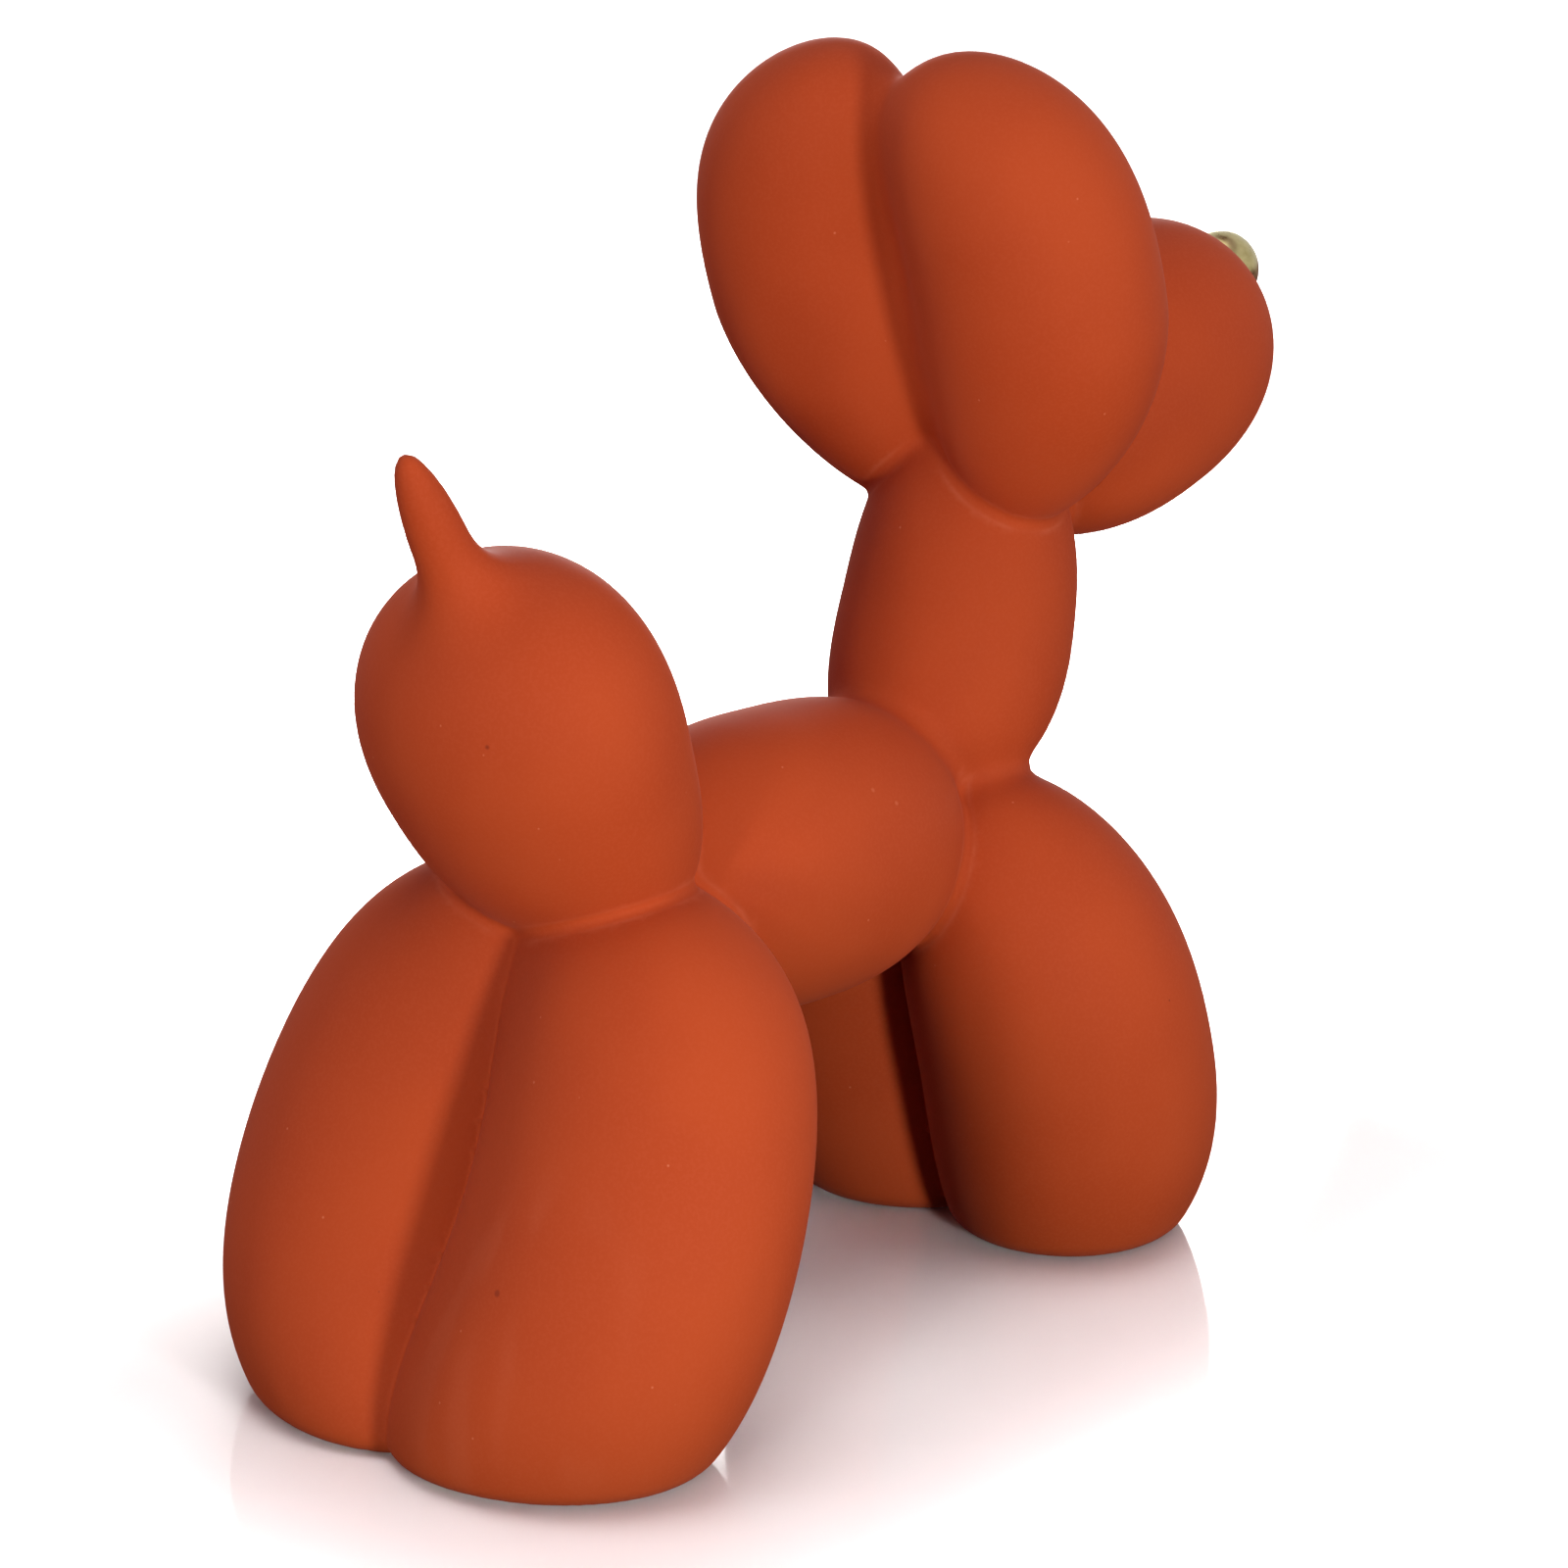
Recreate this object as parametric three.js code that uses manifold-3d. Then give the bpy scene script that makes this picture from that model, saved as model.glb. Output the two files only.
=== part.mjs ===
// Balloon dog figurine: one casting of eleven fused bubbles, and a gold ball for a nose.
// Millimetres, +Z up. The dog looks along -Y, x = 0 is its plane of symmetry, and its soles lie on z = 0.
import * as THREE from 'three';
import { mergeVertices } from 'three/addons/utils/BufferGeometryUtils.js';
import Module from 'manifold-3d';

const wasm = await Module();
wasm.setup();

// The twists of the balloon, where its bubbles meet: [y, z] in the plane of symmetry
const HIP = [65.5, 97];
const SHOULDER = [-23.5, 94];
const CROWN = [-48, 157.5];

// Each bubble is a round form about a line from its root to its tip:
// root, tip: the two ends as [y, z]
// x: distance of the root and of the tip from the plane of symmetry
// wide, deep: half widths across the dog and square to that
// full: bluntness of the root end and of the tip end, 2 for an ellipse
// swell: share by which the tip end is fatter and the root end thinner than the middle
// arch: how far its middle stands out to the back, or upwards where it runs forward
// bow: how far its middle stands out to its own side of the dog
const RUMP = {
  root: [HIP[0], HIP[1] - 6.5],
  tip: [101, 166],
  wide: 33,
  deep: 26,
  full: [2.9, 2.2],
  swell: 0.18,
  arch: 4,
};
const TAIL = {
  root: [93.5, 139.5],
  tip: [119, 190],
  wide: 5.75,
  deep: 5.75,
  full: [2.2, 2.3],
};
const BARREL = {
  root: HIP,
  tip: SHOULDER,
  wide: 30,
  deep: 30,
  full: [2.2, 3.1],
  arch: -2.5,
};
const NECK = {
  root: SHOULDER,
  tip: [CROWN[0] + 4, CROWN[1] + 15.5],
  wide: 24.25,
  deep: 24.25,
  full: [2.4, 2.9],
  swell: -0.11,
  arch: -4.5,
};
const MUZZLE = {
  root: CROWN,
  tip: [-126, 189],
  wide: 28.75,
  deep: 28.75,
  full: [2.3, 2.3],
  swell: 0.1,
};
const HIND_LEG = {
  root: [HIP[0], HIP[1] + 6],
  tip: [119, -15.5],
  x: [8, 12.5],
  wide: 34,
  deep: 28.25,
  full: [5, 4.2],
  swell: 0.05,
  arch: -1.2,
  bow: 19.5,
};
const FRONT_LEG = {
  root: [SHOULDER[0], SHOULDER[1] + 8.5],
  tip: [-61, -16],
  x: [16, 13.5],
  wide: 30.5,
  deep: 30.5,
  full: [2.7, 2.7],
  swell: 0.05,
  bow: 11.5,
};
const EAR = {
  root: [CROWN[0] + 3.5, CROWN[1] - 5.25],
  tip: [-13.5, 249],
  x: [9.25, 18.75],
  wide: 26,
  deep: 22.75,
  full: [1.6, 4],
  swell: -0.024,
  bow: 13.25,
};

const NOSE_CENTRE = [0, -127, 192];
const NOSE_RADIUS = 8.5;
const SEAT_GAP = 0.3;

const SIDES = 32;
const RINGS = 16;
const TAIL_SIDES = 20;
const NOSE_SIDES = 24;
const FLOOR_BLOCK = 400;

const TERRACOTTA = new THREE.MeshStandardMaterial({ color: 0xb04a26, roughness: 0.85, metalness: 0 });
const GOLD = new THREE.MeshStandardMaterial({ color: 0x9c8a5c, roughness: 0.35, metalness: 1 });

// Radius of a bubble of unit size at a place along its axis, from root (-1) to tip (1)
function radiusAt(along, { full, swell = 0 }) {
  const bluntness = along < 0 ? full[0] : full[1];
  const rounded = Math.sqrt(Math.max(0, 1 - Math.abs(along) ** bluntness));
  return (1 + swell * along) * rounded;
}

function unitOutline(form) {
  const points = [];
  for (let ring = 0; ring <= RINGS; ring += 1) {
    const along = -Math.cos((Math.PI * ring) / RINGS);
    const atEnd = ring === 0 || ring === RINGS;
    points.push(new THREE.Vector2(atEnd ? 0 : radiusAt(along, form), along));
  }
  return points;
}

// A closed geometry as a solid: corners merged, and the collapsed triangles at a lathe's poles left out
function solid(geometry) {
  geometry.deleteAttribute('normal');
  geometry.deleteAttribute('uv');
  const merged = mergeVertices(geometry, 1e-4);
  const index = merged.index.array;
  const triangles = [];
  for (let i = 0; i < index.length; i += 3) {
    const corners = [index[i], index[i + 1], index[i + 2]];
    if (new Set(corners).size === 3) {
      triangles.push(...corners);
    }
  }
  const vertProperties = new Float32Array(merged.attributes.position.array);
  const triVerts = new Uint32Array(triangles);
  return new wasm.Manifold(new wasm.Mesh({ numProp: 3, vertProperties, triVerts }));
}

// A lathe form, stretched to its widths, arched, bowed and laid along its axis.
// side is 1 on the left of the dog and -1 on its right.
function bubble(form, side = 1, sides = SIDES) {
  const { root, tip, x = [0, 0], wide, deep, arch = 0, bow = 0 } = form;
  const start = new THREE.Vector3(side * x[0], ...root);
  const end = new THREE.Vector3(side * x[1], ...tip);
  const centre = start.clone().lerp(end, 0.5);
  const half = end.clone().sub(centre);
  const back = new THREE.Vector3(0, half.z, -half.y).normalize();
  const across = new THREE.Vector3().crossVectors(half, back).normalize();
  const square = new THREE.Vector3().crossVectors(across, half).normalize();
  const outward = across.clone().multiplyScalar(side * Math.sign(across.x));
  const geometry = new THREE.LatheGeometry(unitOutline(form), sides);
  const corners = geometry.attributes.position;
  const corner = new THREE.Vector3();
  for (let i = 0; i < corners.count; i += 1) {
    corner.fromBufferAttribute(corners, i);
    const middle = 1 - corner.y * corner.y;
    const placed = centre.clone().addScaledVector(half, corner.y);
    placed.addScaledVector(across, corner.x * wide);
    placed.addScaledVector(square, corner.z * deep);
    placed.addScaledVector(back, arch * middle);
    placed.addScaledVector(outward, bow * middle);
    corners.setXYZ(i, placed.x, placed.y, placed.z);
  }
  return solid(geometry);
}

function ball(radius) {
  const sphere = new THREE.SphereGeometry(radius, NOSE_SIDES, NOSE_SIDES / 2);
  sphere.translate(...NOSE_CENTRE);
  return solid(sphere);
}

function belowFloor() {
  const block = new THREE.BoxGeometry(FLOOR_BLOCK, FLOOR_BLOCK, FLOOR_BLOCK);
  block.translate(0, 0, -FLOOR_BLOCK / 2);
  return solid(block);
}

// The casting: all bubbles joined, the feet cut flat on the floor, and a seat for the nose
function casting() {
  let body = bubble(TAIL, 1, TAIL_SIDES);
  for (const form of [RUMP, BARREL, NECK, MUZZLE]) {
    body = body.add(bubble(form));
  }
  for (const form of [HIND_LEG, FRONT_LEG, EAR]) {
    body = body.add(bubble(form, 1)).add(bubble(form, -1));
  }
  return body.subtract(belowFloor()).subtract(ball(NOSE_RADIUS + SEAT_GAP));
}

function namedMesh(name, form, material) {
  const { vertProperties, triVerts } = form.getMesh();
  const geometry = new THREE.BufferGeometry();
  geometry.setAttribute('position', new THREE.BufferAttribute(vertProperties, 3));
  geometry.setIndex(new THREE.BufferAttribute(triVerts, 1));
  geometry.computeVertexNormals();
  const mesh = new THREE.Mesh(geometry, material);
  mesh.name = name;
  return mesh;
}

const figurine = new THREE.Group();
figurine.add(namedMesh('dog', casting(), TERRACOTTA));
figurine.add(namedMesh('nose', ball(NOSE_RADIUS), GOLD));

export default figurine;
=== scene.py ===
import math

import bmesh
import bpy
import numpy as np
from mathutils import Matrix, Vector


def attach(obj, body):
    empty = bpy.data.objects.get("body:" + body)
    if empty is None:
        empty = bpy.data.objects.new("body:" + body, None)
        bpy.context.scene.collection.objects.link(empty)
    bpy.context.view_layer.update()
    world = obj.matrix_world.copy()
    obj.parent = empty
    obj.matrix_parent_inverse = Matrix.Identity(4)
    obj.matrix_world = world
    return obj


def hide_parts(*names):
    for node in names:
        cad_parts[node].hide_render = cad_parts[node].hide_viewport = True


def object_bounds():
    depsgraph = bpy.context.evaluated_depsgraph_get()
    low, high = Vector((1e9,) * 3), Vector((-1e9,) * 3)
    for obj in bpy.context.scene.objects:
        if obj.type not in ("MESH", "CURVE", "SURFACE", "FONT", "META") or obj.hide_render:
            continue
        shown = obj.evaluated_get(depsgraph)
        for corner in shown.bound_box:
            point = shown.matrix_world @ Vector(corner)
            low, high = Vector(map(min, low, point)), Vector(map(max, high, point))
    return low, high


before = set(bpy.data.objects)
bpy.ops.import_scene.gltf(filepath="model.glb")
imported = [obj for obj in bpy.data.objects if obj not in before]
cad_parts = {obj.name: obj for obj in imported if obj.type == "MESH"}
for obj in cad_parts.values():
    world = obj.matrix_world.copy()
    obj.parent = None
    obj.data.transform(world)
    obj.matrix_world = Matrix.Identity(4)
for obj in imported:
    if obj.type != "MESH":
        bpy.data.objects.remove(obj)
cad_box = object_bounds()

# Lengths of the dog and of its paint are in millimetres, and MM turns them into Blender's metres.
MM = 0.001

# The twists of the balloon, where its bubbles meet: (y, z) in the plane of symmetry
HIP = (65.5, 97.0)
SHOULDER = (-23.5, 94.0)
CROWN = (-48.0, 157.5)

# Each bubble is a round form about a line from its root to its tip:
# root, tip: the two ends as (y, z)
# x: distance of the root and of the tip from the plane of symmetry
# wide, deep: half widths across the dog and square to that
# full: bluntness of the root end and of the tip end, 2 for an ellipse
# swell: share by which the tip end is fatter and the root end thinner than the middle
# arch: how far its middle stands out to the back, or upwards where it runs forward
# bow: how far its middle stands out to its own side of the dog
RUMP = dict(root=(HIP[0], HIP[1] - 6.5), tip=(101.0, 166.0), wide=33.0, deep=26.0,
            full=(2.9, 2.2), swell=0.18, arch=4.0)
TAIL = dict(root=(93.5, 139.5), tip=(119.0, 190.0), wide=5.75, deep=5.75, full=(2.2, 2.3))
BARREL = dict(root=HIP, tip=SHOULDER, wide=30.0, deep=30.0, full=(2.2, 3.1), arch=-2.5)
NECK = dict(root=SHOULDER, tip=(CROWN[0] + 4.0, CROWN[1] + 15.5), wide=24.25, deep=24.25,
            full=(2.4, 2.9), swell=-0.11, arch=-4.5)
MUZZLE = dict(root=CROWN, tip=(-126.0, 189.0), wide=28.75, deep=28.75, full=(2.3, 2.3), swell=0.1)
HIND_LEG = dict(root=(HIP[0], HIP[1] + 6.0), tip=(119.0, -15.5), x=(8.0, 12.5), wide=34.0, deep=28.25,
                full=(5.0, 4.2), swell=0.05, arch=-1.2, bow=19.5)
FRONT_LEG = dict(root=(SHOULDER[0], SHOULDER[1] + 8.5), tip=(-61.0, -16.0), x=(16.0, 13.5), wide=30.5,
                 deep=30.5, full=(2.7, 2.7), swell=0.05, bow=11.5)
EAR = dict(root=(CROWN[0] + 3.5, CROWN[1] - 5.25), tip=(-13.5, 249.0), x=(9.25, 18.75), wide=26.0,
           deep=22.75, full=(1.6, 4.0), swell=-0.024, bow=13.25)

NOSE_CENTRE = (0.0, -127.0, 192.0)
NOSE_RADIUS = 8.5

# How wide the rounding is in each kind of seam
SEAM = 2.6
LEG_SEAM = 0.7
TAIL_SEAM = 10.5
NECK_SEAM = 5.5
SOLE_EDGE = 4.5

# Some seams are filled more towards the top: the width there is added between the two heights.
HIND_FILL = dict(added=2.0, low=85.0, high=110.0)
EAR_VALLEY = 8.5
EAR_FILL = dict(added=7.0, low=160.0, high=190.0)

# Seams wider than this are gentle hollows, which need no finer mesh
WIDE_SEAM = 4.0

# Linear colours
TERRACOTTA_DEEP = (0.445, 0.0621, 0.0136)
TERRACOTTA_LIGHT = (0.475, 0.0709, 0.0164)
TERRACOTTA_GRAIN = (0.5, 0.0842, 0.0249)
PALE_SPECK = (0.60, 0.16, 0.07)
# Pale dust on the smudges; on the seam rims this pale colour is partly dust and partly a painted highlight
PALE_DUST_AND_HIGHLIGHT = (0.60, 0.15, 0.065)
DARK_SPECK = (0.14, 0.025, 0.01)
GOLD_DEEP = (0.34, 0.28, 0.12)
GOLD_LIGHT = (0.46, 0.39, 0.19)

# The paint's patterns: how large their lumps are, how deep those in the surface, and how strongly they show
PATCH_SIZE = 38.0
GRAIN_SIZE = 0.7
GRAIN_SHARE = 0.25
PALE_SPECKS = dict(spacing=9.0, radius=0.35)
DARK_SPECKS = dict(spacing=23.0, radius=0.4)
WAVE_SIZE = 16.0
WAVE_DEPTH = 0.12
PORE_SIZE = 0.8
PORE_DEPTH = 0.02
CLOUD_SIZE = 2.5
BRUSH_SIZE = 0.5
BRUSH_DEPTH = 0.01

# The pale rim of a narrow seam, partly worn dust and partly a painted highlight along the seam's edge: how
# far inside the seam's edge its middle is, how far it fades, the bare strip beside the plane of symmetry and
# its fade, the size of its patches, and how strongly it shows
RIM_PLACE = 0.5
RIM_WIDTH = 0.75
RIM_BARE = 3.0
RIM_BARE_FADE = 4.0
RIM_PATCH = 9.0
RIM_SHARES = (0.1, 0.45)

# The smudges on the right hind leg: their place and its radius, their width, how much they are drawn out
# in height, and how strongly they show
SMUDGED = ((-28.0, 128.0, 32.0), 42.0)
SMUDGE_SIZE = 7.0
SMUDGE_SQUEEZE = 0.14
SMUDGE_SHARE = 0.12

# Marks on the paint: place, radius and colour
MARKS = (
    ((-15.3, 114.4, 138.2), 0.7, (0.24, 0.034, 0.01)),
    ((-27.1, 126.5, 40.0), 0.9, (0.30, 0.042, 0.012)),
    ((-55.3, 70.5, 59.1), 1.0, (0.58, 0.15, 0.065)),
    ((-23.9, 17.5, 110.6), 0.7, (0.54, 0.12, 0.045)),
    ((-25.9, 12.7, 107.3), 0.7, (0.54, 0.12, 0.045)),
)

# The grid that the surface is found on, and the longest edges left in the seams by each refinement
GRID_STEP = 1.8
GRID_LOW = (-66.6, -140.4, -5.4)
GRID_HIGH = (66.6, 140.4, 255.6)
SEAM_EDGES = (1.15, 0.82)


def frame_of(form, side):
    """Centre, half length and the three directions (along, outward, back) of a bubble."""
    x = form.get("x", (0.0, 0.0))
    root = np.array([side * x[0], *form["root"]])
    tip = np.array([side * x[1], *form["tip"]])
    half = (tip - root) / 2
    length = np.linalg.norm(half)
    along = half / length
    back = np.array([0.0, along[2], -along[1]])
    back /= np.linalg.norm(back)
    outward = np.cross(along, back)
    outward *= side * np.sign(outward[0])
    return (root + tip) / 2, length, along, outward, back


def distance(form, points, side=1):
    """Nearly the distance in millimetres from a bubble's surface, negative inside it."""
    centre, length, along, outward, back = frame_of(form, side)
    arch, bow, swell = form.get("arch", 0.0), form.get("bow", 0.0), form.get("swell", 0.0)
    wide, deep = form["wide"], form["deep"]
    offset = points - centre
    s = offset @ along / length
    middle = 1 - s * s
    u = (offset @ outward - bow * middle) / wide
    v = (offset @ back - arch * middle) / deep
    girth = 1 + swell * s
    n = np.where(s < 0, form["full"][0], form["full"][1])
    size = np.abs(s)
    section = (u * u + v * v) / girth**2
    level = section + size**n
    du = 2 * u / wide / girth**2
    dv = 2 * v / deep / girth**2
    ds = 2 * s * (bow * du + arch * dv) - 2 * swell * section / girth + n * size ** (n - 1) * np.sign(s)
    slope = np.sqrt(du**2 + dv**2 + (ds / length) ** 2)
    radius = np.sqrt(level)
    return 2 * radius * (radius - 1) / np.maximum(slope, 1e-6)


def join(a, b, width, seams=None):
    """The union of two distances, with the seam between them filled over that width."""
    gap = np.abs(a - b)
    low = np.minimum(a, b)
    if seams is not None:
        seams.append(np.where(width < WIDE_SEAM, width - np.maximum(gap, low), -1))
    return low - np.maximum(width - gap, 0) ** 2 / (4 * width)


def fill(points, added, low, high):
    """Extra seam width at each point: none below the lower height, all of it above the higher one."""
    share = np.clip((points[:, 2] - low) / (high - low), 0, 1)
    return added * share * share * (3 - 2 * share)


def casting(points, seams=None):
    """Distance from the surface of the whole casting. seams collects how far a point is within each seam."""
    def pair(form, width):
        return join(distance(form, points, 1), distance(form, points, -1), width, seams)

    hind_legs = pair(HIND_LEG, LEG_SEAM + fill(points, **HIND_FILL))
    ears = pair(EAR, EAR_VALLEY + fill(points, **EAR_FILL))
    rear = join(hind_legs, distance(RUMP, points), SEAM, seams)
    rear = join(rear, distance(TAIL, points), TAIL_SEAM, seams)
    body = join(rear, distance(BARREL, points), SEAM, seams)
    body = join(body, pair(FRONT_LEG, LEG_SEAM), SEAM, seams)
    body = join(body, distance(NECK, points), NECK_SEAM, seams)
    head = join(ears, distance(MUZZLE, points), SEAM, seams)
    body = join(body, head, SEAM, seams)
    return -join(-body, points[:, 2], SOLE_EDGE, seams)


def normals(points, reach=0.02):
    """Unit gradient of the casting's distance."""
    slopes = []
    for axis in range(3):
        shift = np.zeros(3)
        shift[axis] = reach
        slopes.append(casting(points + shift) - casting(points - shift))
    slopes = np.stack(slopes, axis=1)
    return slopes / np.linalg.norm(slopes, axis=1, keepdims=True)


def settle(points, rounds):
    """Points moved onto the surface."""
    for _ in range(rounds):
        points = points - casting(points)[:, None] * normals(points)
    return points


def surface_net():
    """Quads near the casting's surface: one corner in each grid cell that the surface crosses."""
    axes = [np.arange(low, high + GRID_STEP / 2, GRID_STEP) for low, high in zip(GRID_LOW, GRID_HIGH)]
    shape = tuple(len(a) for a in axes)
    field = np.empty(shape)
    for i, x in enumerate(axes[0]):
        y, z = np.meshgrid(axes[1], axes[2], indexing="ij")
        layer = np.stack([np.full(y.size, x), y.ravel(), z.ravel()], axis=1)
        field[i] = casting(layer).reshape(shape[1:])
    inside = field < 0
    total = np.zeros((field.size, 3))
    count = np.zeros(field.size)
    quads = []
    for axis in range(3):
        ahead = np.roll(inside, -1, axis)
        crossed = np.argwhere(inside != ahead)
        crossed = crossed[crossed[:, axis] < shape[axis] - 1]
        here = field[tuple(crossed.T)]
        after = crossed.copy()
        after[:, axis] += 1
        there = field[tuple(after.T)]
        place = crossed.astype(float)
        place[:, axis] += here / (here - there)
        one, two = [(axis + 1) % 3, (axis + 2) % 3]
        around = []
        for a, b in ((0, 0), (-1, 0), (-1, -1), (0, -1)):
            cell = crossed.copy()
            cell[:, one] += a
            cell[:, two] += b
            flat = np.ravel_multi_index(tuple(cell.T), shape)
            np.add.at(total, flat, place)
            np.add.at(count, flat, 1)
            around.append(flat)
        quad = np.stack(around, axis=1)
        leaving = here < 0
        quad[~leaving] = quad[~leaving][:, ::-1]
        quads.append(quad)
    quads = np.concatenate(quads)
    used, quads = np.unique(quads, return_inverse=True)
    corners = total[used] / count[used][:, None] * GRID_STEP + np.array(GRID_LOW)
    return corners, quads.reshape(-1, 4)


def relax(points, faces, rounds):
    """Corners moved along the surface to the middle of their neighbours."""
    after = np.roll(faces, -1, 1)
    ends = np.stack([faces.T.ravel(), after.T.ravel()], 1)
    for _ in range(rounds):
        total = np.zeros_like(points)
        count = np.zeros(len(points))
        np.add.at(total, ends[:, 0], points[ends[:, 1]])
        np.add.at(count, ends[:, 0], 1)
        shift = total / count[:, None] - points
        outward = normals(points)
        shift -= (shift * outward).sum(1, keepdims=True) * outward
        points = settle(points + 0.5 * shift, 1)
    return points


def within_seams(points):
    """How far inside the edge of the nearest narrow seam each point is, in millimetres."""
    seams = []
    casting(points, seams)
    return np.max(seams, axis=0)


def halved(points, faces):
    """Triangles from quads, cut along the shorter diagonal."""
    first = np.linalg.norm(points[faces[:, 0]] - points[faces[:, 2]], axis=1)
    second = np.linalg.norm(points[faces[:, 1]] - points[faces[:, 3]], axis=1)
    turned = np.where((first > second)[:, None], np.roll(faces, -1, 1), faces)
    return np.concatenate([turned[:, [0, 1, 2]], turned[:, [0, 2, 3]]])


def refined(points, triangles, longest):
    """Edges in the seams that are longer than this are split at their middle, and the new points settled."""
    corners = triangles[:, [[0, 1], [1, 2], [2, 0]]].reshape(-1, 2)
    edges, of_edge = np.unique(np.sort(corners, axis=1), axis=0, return_inverse=True)
    of_edge = of_edge.reshape(-1, 3)
    middle = (points[edges[:, 0]] + points[edges[:, 1]]) / 2
    length = np.linalg.norm(points[edges[:, 0]] - points[edges[:, 1]], axis=1)
    split = (length > longest) & (within_seams(middle) > 0)
    for _ in range(2):
        full = split[of_edge].sum(1) >= 2
        split[of_edge[full].ravel()] = True
    number = np.full(len(edges), -1)
    number[split] = len(points) + np.arange(split.sum())
    points = np.concatenate([points, settle(middle[split], 3)])
    mids = number[of_edge]
    marks = (mids >= 0).sum(1)
    made = [triangles[marks == 0]]
    a, b, c = triangles[marks == 3].T
    ab, bc, ca = mids[marks == 3].T
    made += [np.stack(t, 1) for t in ((a, ab, ca), (ab, b, bc), (ca, bc, c), (ab, bc, ca))]
    for turn in range(3):
        tri, mid = np.roll(triangles, -turn, 1), np.roll(mids, -turn, 1)
        one = (marks == 1) & (mid[:, 0] >= 0)
        a, b, c = tri[one].T
        m = mid[one][:, 0]
        made += [np.stack(t, 1) for t in ((a, m, c), (m, b, c))]
        two = (marks == 2) & (mid[:, 2] < 0)
        a, b, c = tri[two].T
        m, n = mid[two][:, 0], mid[two][:, 1]
        made += [np.stack(t, 1) for t in ((m, b, n), (a, m, n), (a, n, c))]
    return points, np.concatenate(made)


def seam_rim_dust_and_highlight(points):
    """How near each point is to the edge of a narrow seam, from 0 to 1: a pale rim is painted there, partly
    worn dust and partly a painted highlight.

    No rim is painted within RIM_BARE of the plane of symmetry, in the creases between the left and the right
    legs and ears.
    """
    aside = np.clip((np.abs(points[:, 0]) - RIM_BARE) / RIM_BARE_FADE, 0, 1)
    return aside * np.clip(1 - np.abs(within_seams(points) - RIM_PLACE) / RIM_WIDTH, 0, 1)


def add_object(name, data):
    obj = bpy.data.objects.new(name, data)
    bpy.context.scene.collection.objects.link(obj)
    return obj


def mesh_object(name, points, faces):
    """A smooth mesh from points in metres."""
    mesh = bpy.data.meshes.new(name)
    mesh.from_pydata(points, [], faces)
    mesh.polygons.foreach_set("use_smooth", np.ones(len(faces), bool))
    mesh.update()
    return add_object(name, mesh)


def make_dog():
    points, quads = surface_net()
    points = settle(points, 3)
    points = relax(points, quads, 4)
    points = settle(points, 2)
    triangles = halved(points, quads)
    for longest in SEAM_EDGES:
        points, triangles = refined(points, triangles, longest)
    points = np.clip(points, np.array(cad_box[0]) / MM, np.array(cad_box[1]) / MM)
    obj = mesh_object("dog_casting", (points * MM).tolist(), triangles.tolist())
    # Each corner's share of the pale seam rim: worn dust and a painted highlight
    rim_dust_and_highlight = obj.data.attributes.new("rim_dust_and_highlight", "FLOAT", "POINT")
    rim_dust_and_highlight.data.foreach_set("value", seam_rim_dust_and_highlight(points).astype(np.float32))
    return obj


def make_nose():
    mesh = bpy.data.meshes.new("nose_bead")
    ball = bmesh.new()
    bmesh.ops.create_icosphere(ball, subdivisions=5, radius=NOSE_RADIUS * MM)
    bmesh.ops.translate(ball, verts=ball.verts, vec=Vector(NOSE_CENTRE) * MM)
    ball.to_mesh(mesh)
    ball.free()
    mesh.polygons.foreach_set("use_smooth", np.ones(len(mesh.polygons), bool))
    return add_object("nose_bead", mesh)


def new_material(name):
    """A material with its node tree, its shader and a socket that gives the place on the dog in metres."""
    material = bpy.data.materials.new(name)
    material.use_nodes = True
    nodes = material.node_tree.nodes
    place = nodes.new("ShaderNodeTexCoord").outputs["Object"]
    return material, material.node_tree, nodes["Principled BSDF"], place


def noise(tree, place, size, detail=2.0, roughness=0.5):
    """Noise from 0 to 1 with lumps about this many millimetres across."""
    node = tree.nodes.new("ShaderNodeTexNoise")
    node.inputs["Scale"].default_value = 1 / (size * MM)
    node.inputs["Detail"].default_value = detail
    node.inputs["Roughness"].default_value = roughness
    tree.links.new(place, node.inputs["Vector"])
    return node.outputs["Fac"]


def remap(tree, value, low, high, to_low=0.0, to_high=1.0):
    """A value between low and high, stretched to run between two other values."""
    node = tree.nodes.new("ShaderNodeMapRange")
    node.interpolation_type = "SMOOTHSTEP"
    for socket, number in (("From Min", low), ("From Max", high), ("To Min", to_low), ("To Max", to_high)):
        node.inputs[socket].default_value = number
    tree.links.new(value, node.inputs["Value"])
    return node.outputs["Result"]


def blend_colours(tree, share, first, second):
    """One colour or socket turning into another by a share from 0 to 1."""
    node = tree.nodes.new("ShaderNodeMix")
    node.data_type = "RGBA"
    tree.links.new(share, node.inputs["Factor"])
    for socket, colour in zip((node.inputs[6], node.inputs[7]), (first, second)):
        if isinstance(colour, tuple):
            socket.default_value = (*colour, 1)
        else:
            tree.links.new(colour, socket)
    return node.outputs[2]


def bump(tree, height, depth, below=None):
    """A normal from a height between 0 and 1 that stands for this many millimetres."""
    node = tree.nodes.new("ShaderNodeBump")
    node.inputs["Strength"].default_value = 1.0
    node.inputs["Distance"].default_value = depth * MM
    tree.links.new(height, node.inputs["Height"])
    if below is not None:
        tree.links.new(below, node.inputs["Normal"])
    return node.outputs["Normal"]


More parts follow.
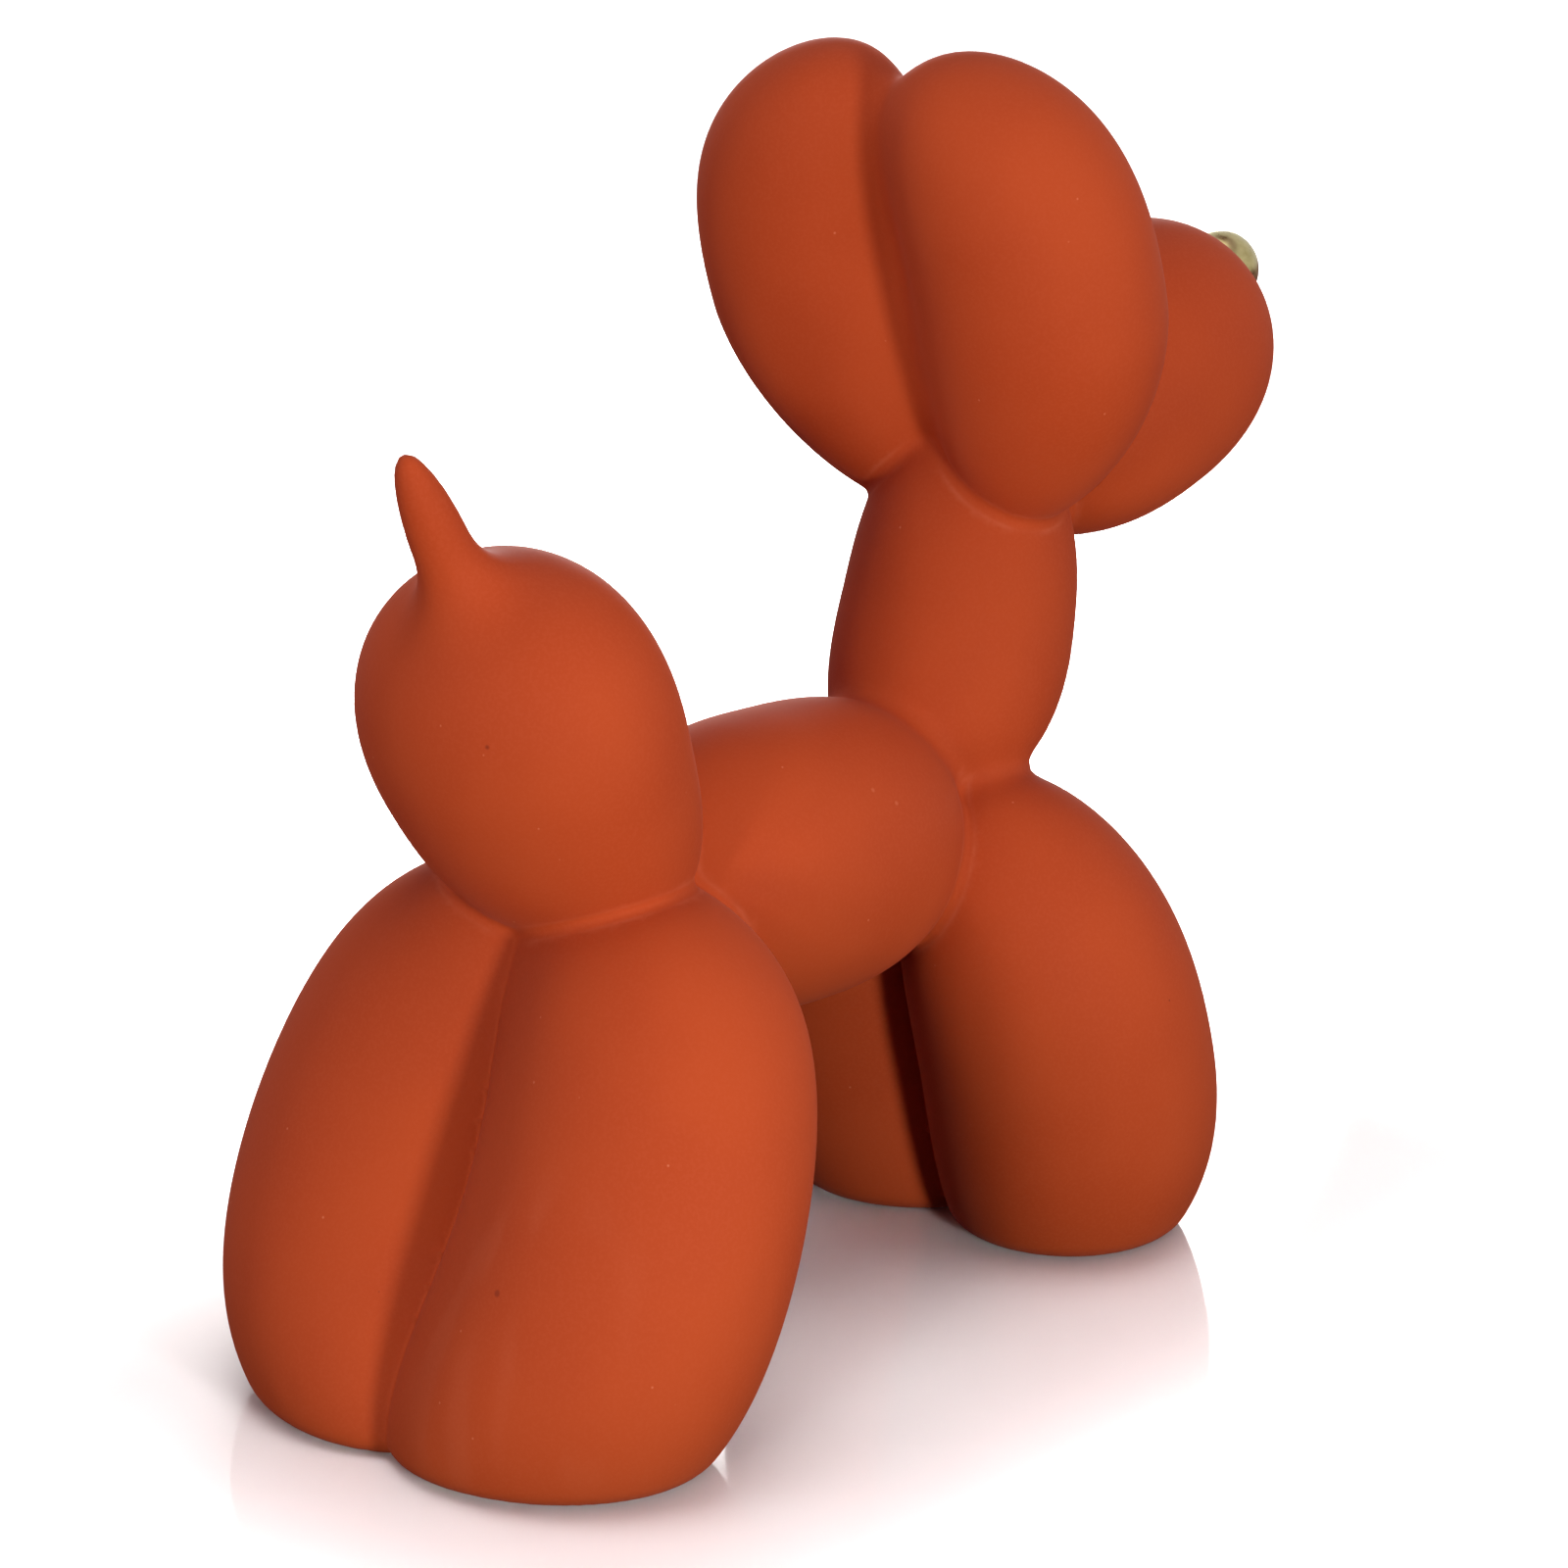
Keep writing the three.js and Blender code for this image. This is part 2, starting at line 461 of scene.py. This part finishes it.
def specks(tree, place, spacing, radius):
    """Small round marks: 1 in the middle of each and 0 between them, about this many millimetres apart."""
    cells = tree.nodes.new("ShaderNodeTexVoronoi")
    cells.inputs["Scale"].default_value = 1 / (spacing * MM)
    tree.links.new(place, cells.inputs["Vector"])
    return remap(tree, cells.outputs["Distance"], 0.3 * radius / spacing, radius / spacing, 1.0, 0.0)


def weaker(tree, value, share):
    """A value from 0 to 1, scaled to run from 0 to this share."""
    return remap(tree, value, 0.0, 1.0, 0.0, share)


def vector_math(tree, operation, vector, other=None, output="Vector"):
    node = tree.nodes.new("ShaderNodeVectorMath")
    node.operation = operation
    tree.links.new(vector, node.inputs[0])
    if other is not None:
        node.inputs[1].default_value = other
    return node.outputs[output]


def spot(tree, place, centre, radius):
    """1 at one place on the dog and 0 beyond a radius about it."""
    away = vector_math(tree, "DISTANCE", place, Vector(centre) * MM, "Value")
    return remap(tree, away, 0.4 * radius * MM, radius * MM, 1.0, 0.0)


def product(tree, first, second):
    node = tree.nodes.new("ShaderNodeMath")
    node.operation = "MULTIPLY"
    tree.links.new(first, node.inputs[0])
    tree.links.new(second, node.inputs[1])
    return node.outputs["Value"]


def smudges(tree, place):
    """Upright streaks of handling low on one hind leg, from 0 to 1."""
    stretch = tree.nodes.new("ShaderNodeMapping")
    stretch.inputs["Scale"].default_value = (1.0, 1.0, SMUDGE_SQUEEZE)
    tree.links.new(place, stretch.inputs["Vector"])
    streaks = remap(tree, noise(tree, stretch.outputs["Vector"], SMUDGE_SIZE, detail=0.0), 0.45, 0.8)
    return product(tree, streaks, spot(tree, place, *SMUDGED))


def terracotta():
    material, tree, shader, place = new_material("terracotta_paint")
    patches = remap(tree, noise(tree, place, PATCH_SIZE), 0.35, 0.65)
    grain = remap(tree, noise(tree, place, GRAIN_SIZE, detail=1.0), 0.3, 0.7)
    colour = blend_colours(tree, patches, TERRACOTTA_DEEP, TERRACOTTA_LIGHT)
    shade = blend_colours(tree, grain, colour, TERRACOTTA_GRAIN)
    colour = blend_colours(tree, weaker(tree, grain, GRAIN_SHARE), colour, shade)
    # The pale seam rims: worn dust, and a painted highlight along the seams' edges
    rim_dust_and_highlight = tree.nodes.new("ShaderNodeAttribute")
    rim_dust_and_highlight.attribute_name = "rim_dust_and_highlight"
    patchy = remap(tree, noise(tree, place, RIM_PATCH), 0.3, 0.65, *RIM_SHARES)
    colour = blend_colours(tree, product(tree, rim_dust_and_highlight.outputs["Fac"], patchy), colour, PALE_DUST_AND_HIGHLIGHT)
    colour = blend_colours(tree, weaker(tree, smudges(tree, place), SMUDGE_SHARE), colour, PALE_DUST_AND_HIGHLIGHT)
    colour = blend_colours(tree, specks(tree, place, **PALE_SPECKS), colour, PALE_SPECK)
    colour = blend_colours(tree, specks(tree, place, **DARK_SPECKS), colour, DARK_SPECK)
    for centre, radius, mark in MARKS:
        colour = blend_colours(tree, spot(tree, place, centre, radius), colour, mark)
    tree.links.new(colour, shader.inputs["Base Color"])
    tree.links.new(remap(tree, patches, 0.0, 1.0, 0.7, 0.8), shader.inputs["Roughness"])
    surface = bump(tree, noise(tree, place, WAVE_SIZE, detail=1.0), WAVE_DEPTH)
    surface = bump(tree, noise(tree, place, PORE_SIZE), PORE_DEPTH, surface)
    tree.links.new(surface, shader.inputs["Normal"])
    shader.inputs["Specular IOR Level"].default_value = 0.08
    shader.inputs["Sheen Weight"].default_value = 0.04
    shader.inputs["Sheen Roughness"].default_value = 0.4
    shader.inputs["Sheen Tint"].default_value = (1.0, 0.8, 0.65, 1)
    return material


def gold():
    material, tree, shader, place = new_material("gold_paint")
    cloud = remap(tree, noise(tree, place, CLOUD_SIZE), 0.3, 0.7)
    tree.links.new(blend_colours(tree, cloud, GOLD_DEEP, GOLD_LIGHT), shader.inputs["Base Color"])
    tree.links.new(remap(tree, cloud, 0.0, 1.0, 0.27, 0.36), shader.inputs["Roughness"])
    tree.links.new(bump(tree, noise(tree, place, BRUSH_SIZE), BRUSH_DEPTH), shader.inputs["Normal"])
    shader.inputs["Metallic"].default_value = 1.0
    return material


dog = make_dog()
nose = make_nose()
dog.data.materials.append(terracotta())
nose.data.materials.append(gold())
for piece, node, slot in ((dog, "dog", "terracotta"), (nose, "nose", "gold")):
    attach(piece, "root")
    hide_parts(node)


# A round white floor, and a wall that curves up from it far behind the dog, in metres. Both leave the
# dog's own light alone: that comes from the lamps and the sky, and the floor has a lamp of its own.
# Beyond the dog's footprint the floor also glows, more and more up to a distance from it, and stays white.
FLOOR_RADIUS = 3.0
WALL_CURVE = 1.5
WALL_HEIGHT = 6.0
FLOOR_SIDES = 96
FLOOR_COLOUR = (0.84, 0.83, 0.82)
FLOOR_ROUGHNESS = 0.06
FOOTPRINT = (0.058, 0.132, 0.0)
FLOOR_GLOW = 0.85
FLOOR_GLOW_FROM_TO = (0.0, 0.11)
WALL_GLOW = 1.0
WALL_STEPS = 12
SHADE_DEPTH = 0.0005
SHADE_RADIUS = 0.25


def make_stage(name, rings):
    """A round surface through rings given by their radius and height, which gives the dog no light."""
    points = [(0.0, 0.0, rings[0][1])] if rings[0][0] == 0 else []
    outer = rings[1:] if points else rings
    first = len(points)
    for radius, height in outer:
        for side in range(FLOOR_SIDES):
            turn = 2 * math.pi * side / FLOOR_SIDES
            points.append((radius * math.cos(turn), radius * math.sin(turn), height))
    around = [(side, (side + 1) % FLOOR_SIDES) for side in range(FLOOR_SIDES)]
    faces = [(0, first + one, first + two) for one, two in around] if first else []
    for ring in range(len(outer) - 1):
        low = first + ring * FLOOR_SIDES
        high = low + FLOOR_SIDES
        faces += [(low + one, high + one, high + two, low + two) for one, two in around]
    surface = mesh_object(name, points, faces)
    surface.visible_diffuse = False
    surface.visible_shadow = False
    return surface


def black_material(name):
    """A material that gives back no light, and its shader."""
    material, _, shader, _ = new_material(name)
    shader.inputs["Base Color"].default_value = (0.0, 0.0, 0.0, 1)
    shader.inputs["Specular IOR Level"].default_value = 0.0
    return material, shader


def make_floor():
    floor = make_stage("floor", [(0.0, 0.0), (0.5, 0.0), (1.5, 0.0), (FLOOR_RADIUS, 0.0)])
    floor.visible_glossy = False
    material, tree, shader, place = new_material("floor_white")
    shader.inputs["Base Color"].default_value = (*FLOOR_COLOUR, 1)
    shader.inputs["Roughness"].default_value = FLOOR_ROUGHNESS
    beyond = vector_math(tree, "ABSOLUTE", place)
    beyond = vector_math(tree, "SUBTRACT", beyond, FOOTPRINT)
    beyond = vector_math(tree, "MAXIMUM", beyond, (0.0, 0.0, 0.0))
    away = vector_math(tree, "LENGTH", beyond, output="Value")
    glow = remap(tree, away, *FLOOR_GLOW_FROM_TO, 0.0, FLOOR_GLOW)
    tree.links.new(glow, shader.inputs["Emission Strength"])
    shader.inputs["Emission Color"].default_value = (1.0, 1.0, 1.0, 1)
    floor.data.materials.append(material)
    return floor


def make_shade():
    """A black disc just under the floor, which keeps the light from below off the feet."""
    shade = make_stage("shade", [(0.0, -SHADE_DEPTH), (0.1, -SHADE_DEPTH), (SHADE_RADIUS, -SHADE_DEPTH)])
    shade.visible_camera = False
    shade.visible_glossy = False
    shade.visible_diffuse = True
    shade.visible_shadow = True
    shade.data.materials.append(black_material("shade_black")[0])


def make_wall():
    turns = [math.pi / 2 * step / WALL_STEPS for step in range(WALL_STEPS + 1)]
    rings = [(FLOOR_RADIUS + WALL_CURVE * math.sin(t), WALL_CURVE * (1 - math.cos(t))) for t in turns]
    wall = make_stage("wall", rings + [(FLOOR_RADIUS + WALL_CURVE, WALL_HEIGHT)])
    material, shader = black_material("wall_white")
    shader.inputs["Emission Color"].default_value = (1.0, 1.0, 1.0, 1)
    shader.inputs["Emission Strength"].default_value = WALL_GLOW
    wall.data.materials.append(material)


# The camera stands behind the dog on its right, and looks at AIM from this azimuth and elevation. Its
# lengths are in millimetres, and its focal length in pixels of a picture that is PHOTO_PIXELS wide.
AIM = (49.83, -40.87, 85.42)
AZIMUTH = 221.1
ELEVATION = 16.01
CAMERA_DISTANCE = 982.06
FOCAL_PIXELS = 4640.17
PHOTO_PIXELS = 1600
SENSOR = 36.0


def make_camera():
    data = bpy.data.cameras.new("camera")
    data.sensor_fit = "HORIZONTAL"
    data.sensor_width = SENSOR
    data.lens = SENSOR * FOCAL_PIXELS / PHOTO_PIXELS
    data.clip_start = 0.05
    data.clip_end = 50.0
    camera = add_object("camera", data)
    away = direction(AZIMUTH, ELEVATION)
    camera.location = (Vector(AIM) + away * CAMERA_DISTANCE) * MM
    camera.rotation_mode = "QUATERNION"
    camera.rotation_quaternion = (-away).to_track_quat("-Z", "Y")
    bpy.context.scene.camera = camera


# Round soft lights about the dog: turn from the camera's azimuth, elevation, distance and size in metres,
# and how bright a white surface facing the light gets
LIGHTS = {
    "key": dict(turn=26.0, rise=0.0, distance=0.8, size=0.12, level=0.42),
    "right_side": dict(turn=75.0, rise=0.0, distance=1.3, size=0.3, level=0.114),
    "left_high": dict(turn=-20.0, rise=14.0, distance=1.3, size=0.15, level=0.051),
    "left_low": dict(turn=-25.0, rise=0.0, distance=1.0, size=0.12, level=0.088),
    "left_side": dict(turn=-35.0, rise=-1.0, distance=1.3, size=0.15, level=0.106),
    "top": dict(turn=0.0, rise=85.0, distance=1.5, size=1.0, level=0.263),
    "front": dict(turn=180.0, rise=10.0, distance=1.4, size=0.6, level=0.3),
}
LIGHTS_AIM = (0.0, 0.0, 0.11)


def direction(azimuth, elevation):
    """Unit vector from the dog, azimuth 0 towards -Y and 90 towards +X, in degrees."""
    a, e = math.radians(azimuth), math.radians(elevation)
    return Vector((math.sin(a) * math.cos(e), -math.cos(a) * math.cos(e), math.sin(e)))


def shine_from(light, away):
    light.rotation_mode = "QUATERNION"
    light.rotation_quaternion = away.to_track_quat("Z", "Y")


def make_light(name, turn, rise, distance, size, level):
    data = bpy.data.lights.new(name, "AREA")
    data.shape = "DISK"
    data.size = size
    data.energy = level * 4 * math.pi * distance**2
    light = add_object(name, data)
    away = direction(AZIMUTH + turn, rise)
    light.location = Vector(LIGHTS_AIM) + away * distance
    shine_from(light, away)


# The floor's lamp: how bright it makes a white floor, its colour, how widely its light is spread, its tilt
# from straight above, and the turn of the side that it comes from
FLOOR_LIGHT = dict(level=0.36, colour=(0.95, 1.0, 1.0), spread=120.0, tilt=28.0, turn=150.0)


def make_floor_light(floor):
    """A wide soft light from above on the floor alone, where the dog casts a soft shadow."""
    data = bpy.data.lights.new("floor_light", "SUN")
    data.energy = FLOOR_LIGHT["level"] * math.pi
    data.color = FLOOR_LIGHT["colour"]
    data.angle = math.radians(FLOOR_LIGHT["spread"])
    light = add_object("floor_light", data)
    shine_from(light, direction(AZIMUTH + FLOOR_LIGHT["turn"], 90.0 - FLOOR_LIGHT["tilt"]))
    lit = bpy.data.collections.new("lit_by_floor_light")
    lit.objects.link(floor)
    light.light_linking.receiver_collection = lit


# The sky's light, reddish, which turns the shaded sides of the dog redder
WORLD_LEVEL = 0.233
WORLD_COLOUR = (1.0, 0.4, 0.45)


def make_world():
    world = bpy.data.worlds.new("studio")
    bpy.context.scene.world = world
    world.use_nodes = True
    background = world.node_tree.nodes["Background"]
    background.inputs["Color"].default_value = (*WORLD_COLOUR, 1)
    background.inputs["Strength"].default_value = WORLD_LEVEL


make_floor_light(make_floor())
make_wall()
make_shade()
make_camera()
make_world()
for light_name, values in LIGHTS.items():
    make_light(light_name, **values)
bpy.context.scene.view_settings.view_transform = "Standard"
